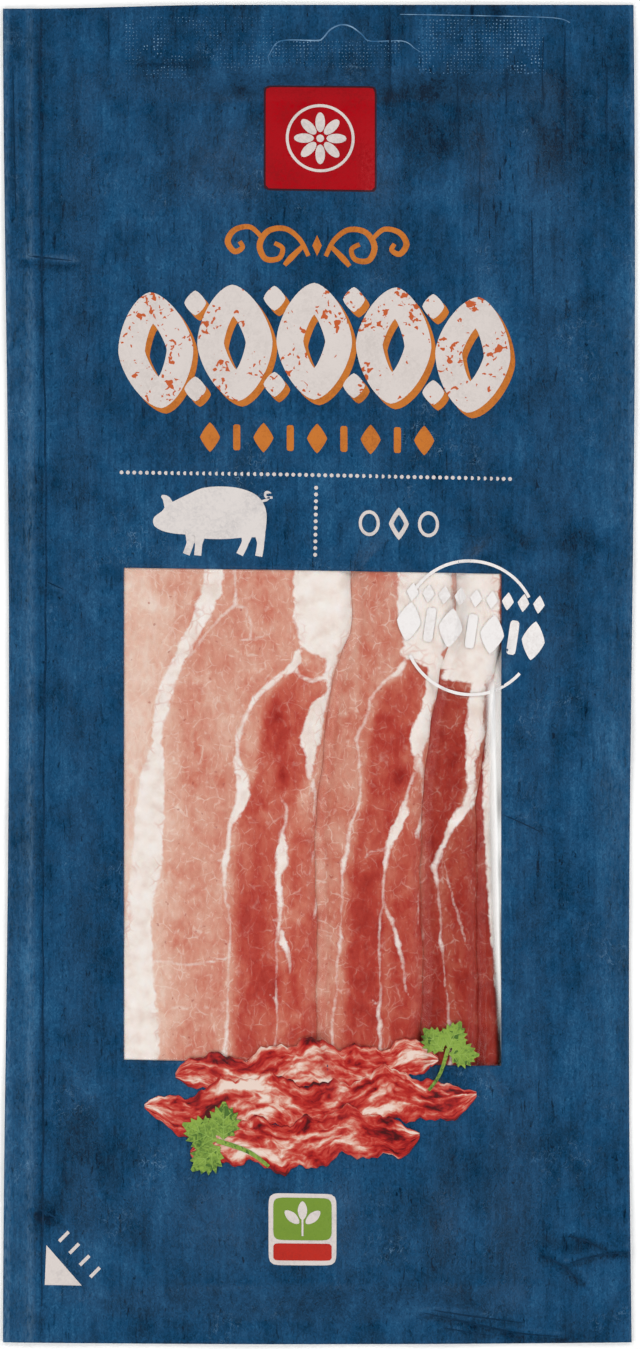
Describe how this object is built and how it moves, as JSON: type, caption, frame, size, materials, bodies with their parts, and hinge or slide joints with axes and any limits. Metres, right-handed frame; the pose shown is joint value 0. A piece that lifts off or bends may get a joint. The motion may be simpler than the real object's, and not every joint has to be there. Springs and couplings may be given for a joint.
{
  "type": "vacuum pack of sliced bacon",
  "caption": "Flat rectangular vacuum pack with a printed upper web and a clear window over shingled bacon slices, lying on its back.",
  "frame": {"origin": "on the surface that the pack lies on, under the middle of the pack", "axes": "+Y along the pack towards the hanging end, +X across it, +Z out of the printed face"},
  "size_m": [0.1326, 0.2812, 0.0088],
  "materials": {
    "base_film": "soft gloss",
    "bacon": "moist, marbled",
    "printed_film": "printed film, satin",
    "clear_film": "clear gloss film",
    "print_cream": "printed film, satin",
    "print_orange": "printed film, satin",
    "print_red": "printed film, satin",
    "print_green": "printed film, satin"
  },
  "bodies": {
    "root": {"lower_film": "base_film", "bacon_slice_1": "bacon", "bacon_slice_2": "bacon", "bacon_slice_3": "bacon", "bacon_slice_4": "bacon", "printed_film": "printed_film", "window_film": "clear_film"}
  },
  "joints": []
}
